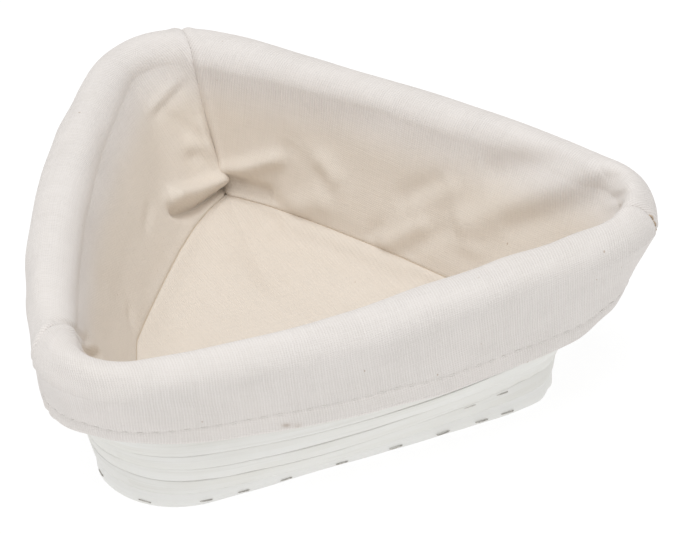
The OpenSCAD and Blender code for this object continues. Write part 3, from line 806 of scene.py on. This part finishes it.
fold("right", [(-23.0, 13.5), (-33.1, 14.6), (-39.7, 15.6)], 0.8, 3.2)
fold("right", [(-85.0, 53.3), (-99.2, 62.4), (-107.2, 68.4)], 0.8, 1.8)
fold("right", [(-84.8, 58.8), (-91.5, 63.4), (-99.4, 69.4)], 0.7, 1.8)
fold("right", [(-81.1, 62.4), (-85.5, 66.1), (-90.8, 70.3)], -0.9, 2.4)
fold("left", [(-52.6, 16.7), (-60.4, 12.8), (-68.0, 9.5), (-77.1, 7.0), (-88.0, 5.5)], 4.6, 3.6)
fold("left", [(-50.0, 13.5), (-55.8, 8.5), (-61.7, 6.0), (-67.8, 4.0), (-77.0, 2.8), (-88.0, 2.0)],
     -4.6, 2.4)
fold("left", [(-74.4, 24.9), (-79.0, 24.1), (-83.1, 21.0), (-84.0, 15.8)], 1.1, 3.4)
fold("left", [(-73.1, 22.9), (-78.6, 20.0), (-80.5, 16.5)], -1.2, 3.4)
fold("left", [(-70.1, 42.5), (-76.8, 42.9), (-84.1, 44.1), (-92.4, 47.0)], -0.8, 2.6)
fold("left", [(-70.6, 45.4), (-77.4, 45.8), (-84.0, 47.2), (-90.5, 48.8)], 0.6, 2.2)
fold("left", [(-77.4, 41.8), (-79.6, 36.2), (-80.8, 30.9), (-81.2, 26.6)], -0.9, 3.0)
fold("left", [(-42.0, 22.3), (-34.1, 21.0), (-24.8, 18.7)], -0.7, 3.0)
fold("left", [(-88.8, 33.3), (-86.2, 25.1), (-84.0, 15.8), (-82.3, 7.4)], 1.5, 3.4)
fold("left", [(12.9, 12.9), (15.0, 9.2), (20.3, 5.5)], -1.0, 3.2)
fold("left", [(80.0, 39.0), (75.9, 33.1)], -1.5, 2.0)
# folds where the rim turns the left corner
fold("left", [(104.0, 64.0), (101.3, 59.7), (96.5, 51.0), (88.0, 43.0), (79.0, 35.0)], -1.4, 1.5, 3)
fold("front", [(-111.0, 51.0), (-108.6, 46.0), (-104.0, 40.0), (-98.0, 35.0)], -3.0, 2.4, 2)
fold("front", [(-106.0, 53.5), (-103.0, 48.0), (-97.0, 43.5)], 1.2, 3.0, 3)
fold("left", [(94.0, 42.5), (88.0, 38.0), (80.0, 32.0), (70.0, 24.5)], -3.0, 1.7, 4)
# the row of stitches draws the hem in
HEM_T = T - T[FOLD_ROW][None, :] + STITCH_UP
outer_part = (np.arange(rows_n) <= FOLD_ROW)[:, None]
relief -= 0.35 * np.exp(-(HEM_T / 0.7) ** 2) * outer_part
relief += 0.25 * smooth(HEM_T, 0.5, 2.5) * outer_part
points = base_points + normal * relief[..., None]
normal = grid_normals(points) * FACING

# brown smudges on the front hem: across, up, half width, half height, strength
STAINS = ((-28.2, 101.4, 1.5, 0.8, 0.6), (-24.0, 102.2, 1.2, 1.1, 0.3))
# painted shade: where the cloth starts to take the darker, warmer inside colour of shade and warm bounced
# light, and where it fully does, mm up from the start of the roll
INSIDE_SHADE_FROM, INSIDE_SHADE_FULL = -1, -21
for k, side in enumerate(SIDES):
    cols = np.arange(k * COLS, (k + 1) * COLS + 1) % cols_n
    # every panel shows another stretch of the cloth
    uv = np.stack([U[:, k] + 400 * k, T[:, cols] + 170 * k], -1) * MM
    inside_shade = 1 - smooth(T[:, cols] - T[WALL_ROWS][cols][None], INSIDE_SHADE_FULL, INSIDE_SHADE_FROM)
    stain = np.zeros_like(inside_shade)
    if side == "front":
        for su, st, wu, wt, dark in STAINS:
            stain += dark * np.exp(-((U[:, k] - su) / wu) ** 2 - ((T[:, cols] - st) / wt) ** 2)
    panel = sheet_mesh(f"cotton_{side}_liner_panel", points[:, cols], normal[:, cols], uv,
                       {"inside": inside_shade, "stain": stain})
    finish_piece(panel, COTTON, "liner", f"{side}_liner_panel")


# ------------------------------------------------------------------ cloth floor
# ridges and valleys of the floor, seen from above: line, height, width
FLOOR_FOLDS = [
    ([(22.0, 70.0), (34.0, 48.0), (46.0, 22.0), (56.0, 0.0)], -2.2, 6.5),
    ([(28.5, 66.0), (42.0, 41.0), (53.0, 17.0)], 1.4, 3.2),
    ([(13.0, 84.0), (4.0, 62.0), (-2.0, 40.0)], 1.8, 9.0),
    ([(10.0, 60.0), (16.0, 36.0), (30.0, 12.0)], -1.4, 9.0),
]


def cloth_floor():
    """The floor panel inside its seam, in rings from the middle out, and its flat area in square mm."""
    ring = seam_xy
    n = len(ring)
    rings = 76
    middle = ring.mean(0)
    q = np.linspace(0.0, 1, rings)[:, None] ** 0.85
    q[0] = 0.004
    x = middle[0] + (ring[None, :, 0] - middle[0]) * q
    y = middle[1] + (ring[None, :, 1] - middle[1]) * q
    z = FLOOR_Z + (SEAM_Z + 0.1 - FLOOR_Z) * q ** 3 + 0 * x
    rim = np.linalg.norm(np.stack([x, y], -1) - ring[None], axis=2)
    relief = np.zeros_like(x)
    for line, height, width in FLOOR_FOLDS:
        relief += height * np.exp(-(nearest_on(line, x, y)[0] / width) ** 2)
    z += relief * smooth(rim, 0.5, 4)
    z += 0.25 * noise_field(rings, n, 14, 90, 31) * smooth(rim, 0.5, 6) * smooth(q, 0.1, 0.3)
    z -= 0.45 * np.exp(-(rim / 0.7) ** 2)
    p = np.stack([x, y, z], -1)
    # the edge stays a hair inside the seam
    away = ring - middle
    away /= np.linalg.norm(away, axis=1, keepdims=True)
    p[..., :2] -= 0.05 * away[None] * q[..., None]
    nrm = grid_normals(p)
    if nrm[:, :, 2].mean() < 0:
        nrm = -nrm
    top, low = p + nrm * SHEET / 2, p - nrm * SHEET / 2
    m = rings * n
    faces = [grid_faces(rings, n, wrap=True), grid_faces(rings, n, m, True, True)]
    e = (rings - 1) * n + np.arange(n)
    nx = (rings - 1) * n + (np.arange(n) + 1) % n
    faces.append(np.stack([nx, e, e + m, nx + m], -1))
    faces = np.concatenate(faces).tolist()
    faces.append(list(range(n - 1, -1, -1)))
    faces.append([m + i for i in range(n)])
    pts = np.concatenate([top.reshape(-1, 3), low.reshape(-1, 3)])
    # the weave runs a little askew
    uv = (pts[:, :2] @ np.array([[0.995, -0.1], [0.1, 0.995]])) * MM
    # the whole floor takes the painted inside shade
    obj = make_mesh("cotton_liner_floor", pts, faces, uv, {"inside": np.ones(len(pts))})
    area = 0.5 * abs(np.sum(ring[:, 0] * np.roll(ring[:, 1], -1) - ring[:, 1] * np.roll(ring[:, 0], -1)))
    return finish_piece(obj, COTTON, "liner", "liner_floor"), area


floor_piece, floor_area = cloth_floor()


# ------------------------------------------------------------------ threads and elastic
def strand(name, node, lines, radius, material, closed=False):
    """One object of round tubes along lines of points; closed joins each line's end to its start."""
    sides = 8
    pts, faces, count = [], [], 0
    for line in lines:
        if closed:
            d = np.roll(line, -1, 0) - np.roll(line, 1, 0)
        else:
            d = np.gradient(line, axis=0)
        d /= np.linalg.norm(d, axis=1, keepdims=True) + 1e-9
        side = np.cross(d, np.array([0.1, 0.2, 1.0]))
        side /= np.linalg.norm(side, axis=1, keepdims=True) + 1e-9
        up = np.cross(side, d)
        t = np.arange(sides) / sides * 2 * math.pi
        ring = (line[:, None] + side[:, None] * (np.cos(t) * radius)[None, :, None]
                + up[:, None] * (np.sin(t) * radius)[None, :, None])
        n = len(line)
        faces += grid_faces(n, sides, count, wrap=True).tolist()
        if closed:
            a = count + (n - 1) * sides + np.arange(sides)
            b = count + (n - 1) * sides + (np.arange(sides) + 1) % sides
            faces += np.stack([a, b, count + (b - a[0]), count + (a - a[0])], -1).tolist()
        else:
            faces.append([count + i for i in range(sides - 1, -1, -1)])
            faces.append([count + (n - 1) * sides + i for i in range(sides)])
        pts.append(ring.reshape(-1, 3))
        count += n * sides
    obj = make_mesh(name, np.concatenate(pts), faces)
    return finish_piece(obj, material, "liner", node)


THREAD_RADIUS, HEAVY_RADIUS, CORD_RADIUS = 0.24, 0.30, 0.5
TAN_STITCHES = (75.0, 77.8, 80.6)     # millimetres up the right corner seam


def corner_thread(k, corner):
    """The thread of a corner seam; at the right corner it is tan and comes up in three stitches."""
    up_by = np.full(FOLD_ROW - 2, 0.02)
    material, radius, every = THREAD, THREAD_RADIUS, 2
    if corner == "right":
        material, radius, every = TAN_THREAD, HEAVY_RADIUS, 1
        for at in TAN_STITCHES:
            up_by += 0.95 * np.exp(-((T[2:FOLD_ROW, k * COLS] - at) / 1.1) ** 4)
    line = points[2:FOLD_ROW, k * COLS] + normal[2:FOLD_ROW, k * COLS] * up_by[:, None]
    strand(f"thread_{corner}_corner_seam", f"{corner}_corner_seam_thread", [line[::every]], radius,
           material)


for k, corner in enumerate(("left", "right", "back")):
    corner_thread(k, corner)
seam_line = np.column_stack([seam_xy, np.full(len(seam_xy), SEAM_Z - 0.22)])
strand("thread_floor_seam", "floor_seam_thread", [seam_line[::3]], HEAVY_RADIUS, SEAM_THREAD, closed=True)
# the elastic lies between the cloth and the turned-up hem
cord = (base_points[FOLD_ROW - 2] + base_points[FOLD_ROW + 11]) / 2 + np.array([0, 0, -0.15])
strand("elastic_hem_cord", "hem_elastic", [cord[::3]], CORD_RADIUS, ELASTIC, closed=True)

STITCHES, STITCH_LENGTH = 126, 3.1
# the bow of one stitch: share of its length, height over the cloth
STITCH_BOW = ((0, -0.44), (0.06, -0.04), (0.2, 0.416), (0.5, 0.48), (0.8, 0.416), (0.94, -0.04), (1, -0.44))


def hem_stitches():
    """Stitches of the hem: each comes up, lies on the cloth and goes down again."""
    rng = np.random.default_rng(41)
    rows = np.arange(FOLD_ROW + 1)
    ring_p, ring_n = np.zeros((cols_n, 3)), np.zeros((cols_n, 3))
    for c in range(cols_n):
        r = np.interp(0.0, HEM_T[rows, c], rows)
        a = int(r)
        ring_p[c] = points[a, c] * (1 - (r - a)) + points[a + 1, c] * (r - a)
        ring_n[c] = normal[a, c]
    ring_p = np.concatenate([ring_p, ring_p[:1]])
    ring_n = np.concatenate([ring_n, ring_n[:1]])
    loop = lengths(ring_p)
    total = loop[-1]
    pitch = total / STITCHES
    share_along, height = np.array(STITCH_BOW).T
    lines = []
    for i in range(STITCHES):
        size = STITCH_LENGTH * rng.uniform(0.92, 1.06)
        start = i * pitch + 0.5 * (pitch - size) + rng.uniform(-0.12, 0.12)
        s = start + share_along * size
        p = np.stack([np.interp(s % total, loop, ring_p[:, j]) for j in range(3)], -1)
        nn = np.stack([np.interp(s % total, loop, ring_n[:, j]) for j in range(3)], -1)
        tilt = np.array([0, 0, 1.0]) * (np.linspace(-1, 1, len(s)) * rng.uniform(-0.05, 0.22))[:, None]
        lines.append(p + nn * height[:, None] + tilt)
    strand("thread_hem_stitches", "hem_stitching", lines, THREAD_RADIUS, THREAD)


hem_stitches()

# ------------------------------------------------------------------ stage, light and camera
STAGE_HALF, STAGE_Z = 4.0, -0.0003
STAGE_GREY, STAGE_GLOW = 0.17, 0.87
WORLD_LIGHT = 0.55


def pale_floor():
    """A wide floor that glows, so that it is white round the basket and still takes a faint shadow."""
    s = STAGE_HALF
    mesh = bpy.data.meshes.new("pale_floor")
    mesh.from_pydata([(-s, -s, 0), (s, -s, 0), (s, s, 0), (-s, s, 0)], [], [(0, 1, 2, 3)])
    obj = bpy.data.objects.new("pale_floor", mesh)
    bpy.context.scene.collection.objects.link(obj)
    obj.location = (0, 0, STAGE_Z)
    material, _, shader = new_material("pale_floor")
    shader.inputs["Base Color"].default_value = (STAGE_GREY, STAGE_GREY, STAGE_GREY, 1)
    shader.inputs["Roughness"].default_value = 0.9
    shader.inputs["Emission Color"].default_value = (1, 1, 1, 1)
    shader.inputs["Emission Strength"].default_value = STAGE_GLOW
    mesh.materials.append(material)


pale_floor()
scene = bpy.context.scene
world = bpy.data.worlds.new("studio") if scene.world is None else scene.world
scene.world = world
world.use_nodes = True
world.node_tree.nodes["Background"].inputs[0].default_value = (1.0, 1.0, 1.0, 1)
world.node_tree.nodes["Background"].inputs[1].default_value = WORLD_LIGHT


def area_light(name, where, target, size, power):
    data = bpy.data.lights.new(name, "AREA")
    data.shape, data.size, data.energy = "DISK", size, power
    obj = bpy.data.objects.new(name, data)
    scene.collection.objects.link(obj)
    obj.location = where
    obj.rotation_mode = "QUATERNION"
    obj.rotation_quaternion = (Vector(target) - Vector(where)).to_track_quat("-Z", "Y")


area_light("overhead", (-0.20, -0.17, 1.40), (0, 0, 0.04), size=1.6, power=13.0)

# the camera stands front-left and high, far off with a long lens
AZIMUTH, ELEVATION, ROLL_ANGLE = -23.41, 33.3, -3.08
DISTANCE = 2.6176                     # metres
LENS, SENSOR = 380.848, 36.0         # millimetres
TARGET = Vector((0.01681, -0.00822, 0.04267))
az, el, rl = (math.radians(v) for v in (AZIMUTH, ELEVATION, ROLL_ANGLE))
back = Vector((math.sin(az) * math.cos(el), -math.cos(az) * math.cos(el), math.sin(el)))
right = (-back).cross(Vector((0, 0, 1))).normalized()
up = right.cross(-back)
cam_x = right * math.cos(rl) + up * math.sin(rl)
cam_y = -right * math.sin(rl) + up * math.cos(rl)
cam_data = bpy.data.cameras.new("camera")
cam_data.sensor_width = SENSOR
cam_data.lens = LENS
cam_data.clip_start, cam_data.clip_end = 0.1, 50.0
camera = bpy.data.objects.new("camera", cam_data)
scene.collection.objects.link(camera)
rot = Matrix((cam_x, cam_y, back)).transposed()
camera.rotation_mode = "QUATERNION"
camera.location = TARGET + back * DISTANCE
camera.rotation_quaternion = rot.to_quaternion()
scene.camera = camera
scene.view_settings.view_transform = "Standard"
scene.view_settings.look = "None"
